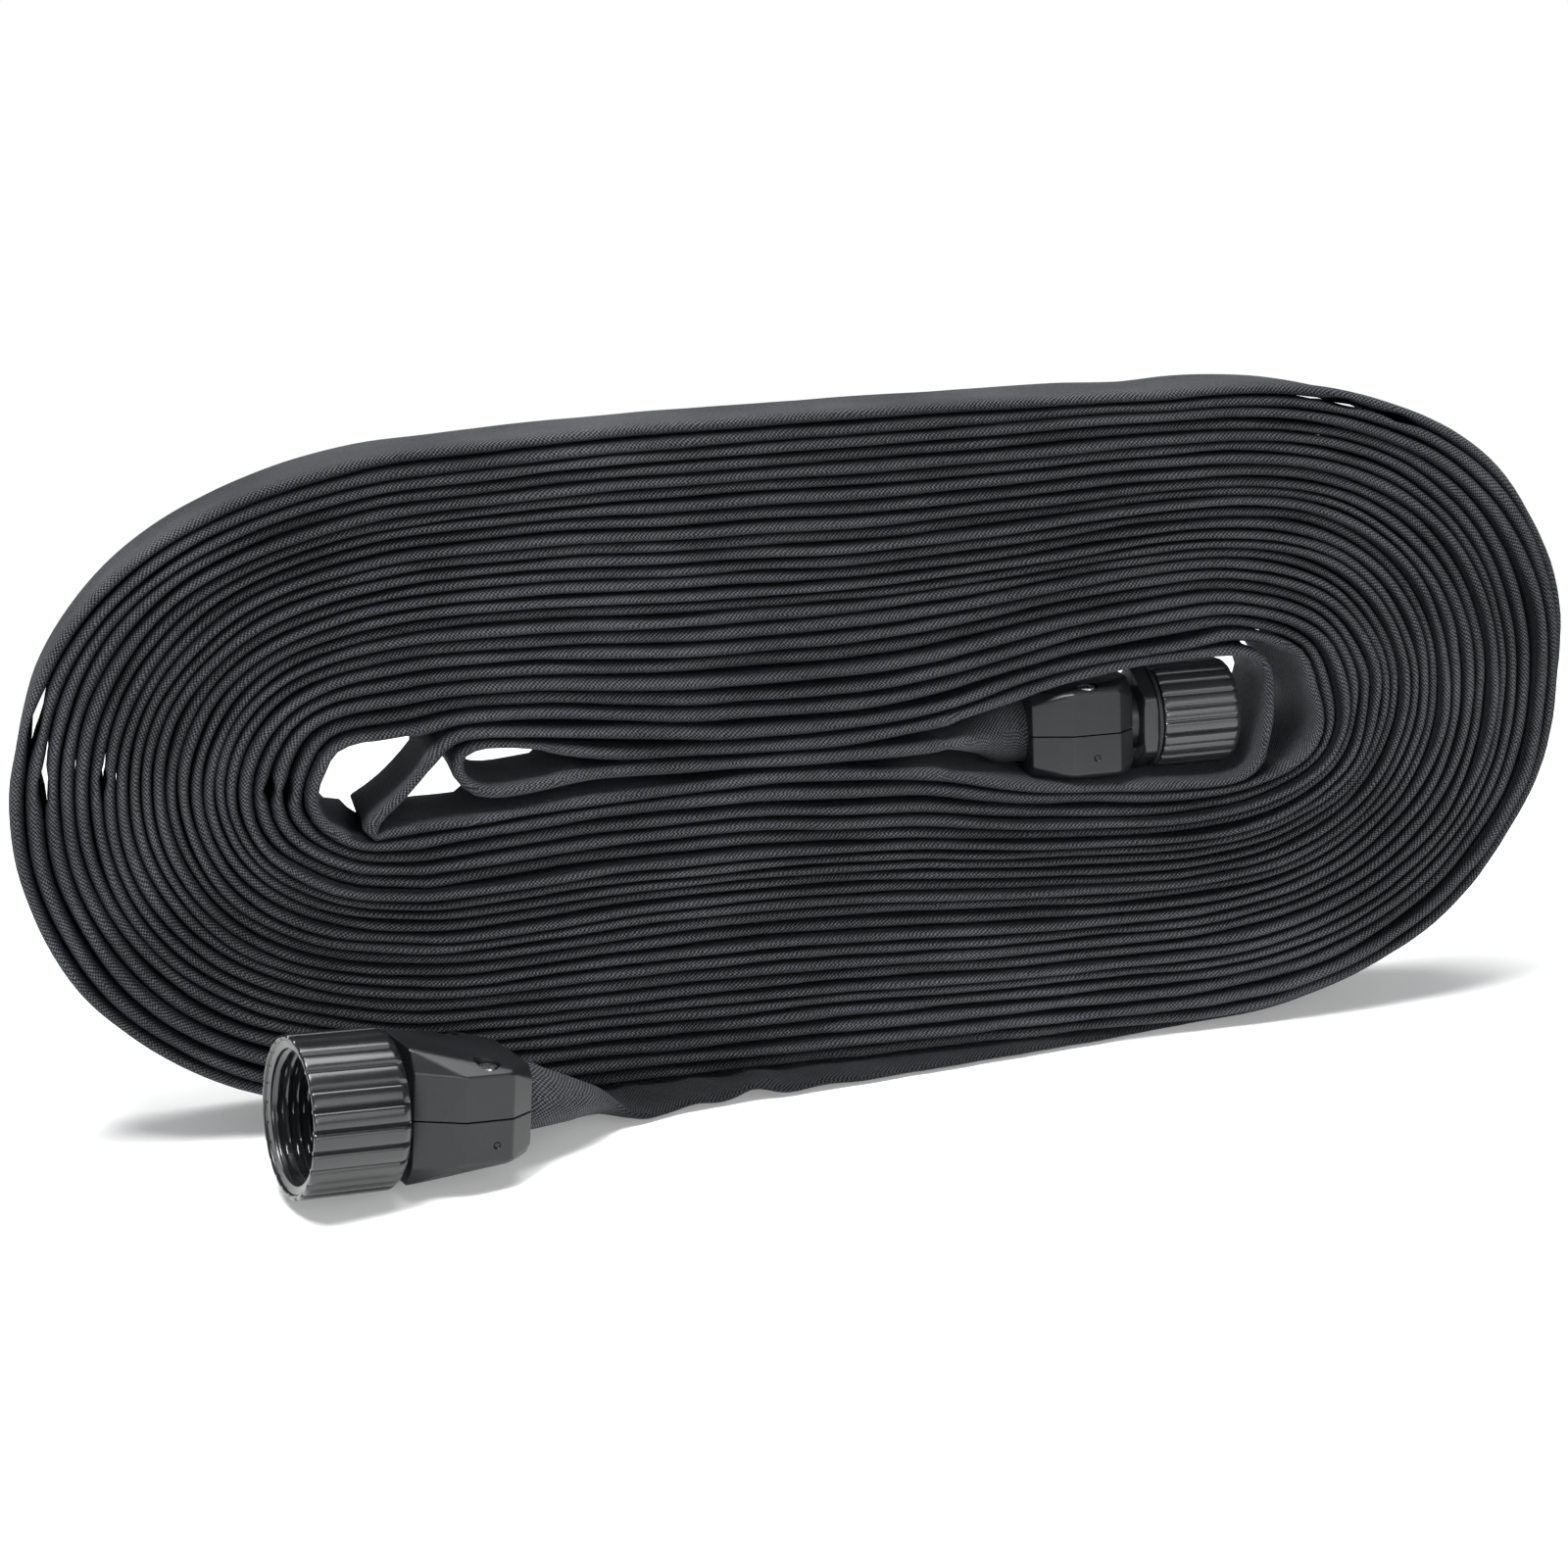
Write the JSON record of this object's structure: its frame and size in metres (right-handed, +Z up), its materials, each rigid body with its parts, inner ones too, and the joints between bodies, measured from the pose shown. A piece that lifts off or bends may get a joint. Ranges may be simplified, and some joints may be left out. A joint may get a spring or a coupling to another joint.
{
  "type": "rolled fire hose",
  "caption": "Lay-flat fabric hose wound into an upright oblong coil, with a swivel inlet coupling on a short tail and a capped outlet coupling held in the middle of the coil.",
  "frame": {"origin": "on the floor plane, on the flat underside of the hose's tail, in the middle of the coil's length and width", "axes": "+Z up, +X along the coil's long side toward the end without the inlet coupling, +Y away from the side the inlet coupling lies on; the coil's winding axis is along Y"},
  "size_m": [0.3439, 0.0907, 0.1453],
  "materials": {
    "jacket_fabric": "coarse black woven polyester, slightly shiny yarn",
    "liner_rubber": "matt",
    "nut_plastic": "semi-gloss black, ribbed",
    "stem_plastic": "satin black",
    "shell_plastic": "satin black",
    "seal_rubber": "matt",
    "screw_steel": "zinc plated"
  },
  "bodies": {
    "hose_and_couplings": {"hose_jacket": "jacket_fabric", "hose_liner": "liner_rubber", "inlet_stem": "stem_plastic", "inlet_washer": "seal_rubber", "inlet_shell_upper": "shell_plastic", "inlet_shell_lower": "shell_plastic", "inlet_screw_front": "screw_steel", "inlet_screw_rear": "screw_steel", "outlet_stem": "stem_plastic", "outlet_shell_upper": "shell_plastic", "outlet_shell_lower": "shell_plastic", "outlet_screw_front": "screw_steel", "outlet_screw_rear": "screw_steel", "outlet_seal_ring": "seal_rubber"},
    "swivel_nut": {"inlet_nut": "nut_plastic"},
    "cap_travel": {"outlet_cap_washer": "seal_rubber"},
    "screw_cap": {"outlet_cap": "nut_plastic"}
  },
  "joints": [
    {"name": "inlet_nut_turn", "type": "hinge", "parent": "hose_and_couplings", "child": "swivel_nut", "pos_m": [-0.1215, -0.0555, 0.01875], "axis": [0.9606, 0.2574, -0.1045], "continuous": true},
    {"name": "outlet_cap_travel", "type": "slide", "parent": "hose_and_couplings", "child": "cap_travel", "axis": [1, 0, 0], "range_m": [0, 0.0015]},
    {"name": "outlet_cap_turn", "type": "hinge", "parent": "cap_travel", "child": "screw_cap", "pos_m": [0.0856, 0, 0.0708], "axis": [1, 0, 0], "range_deg": [0, 298]}
  ],
  "couplings": [
    {"joint": "outlet_cap_turn", "follows": "outlet_cap_travel", "rad_per_m": 3463.7}
  ]
}
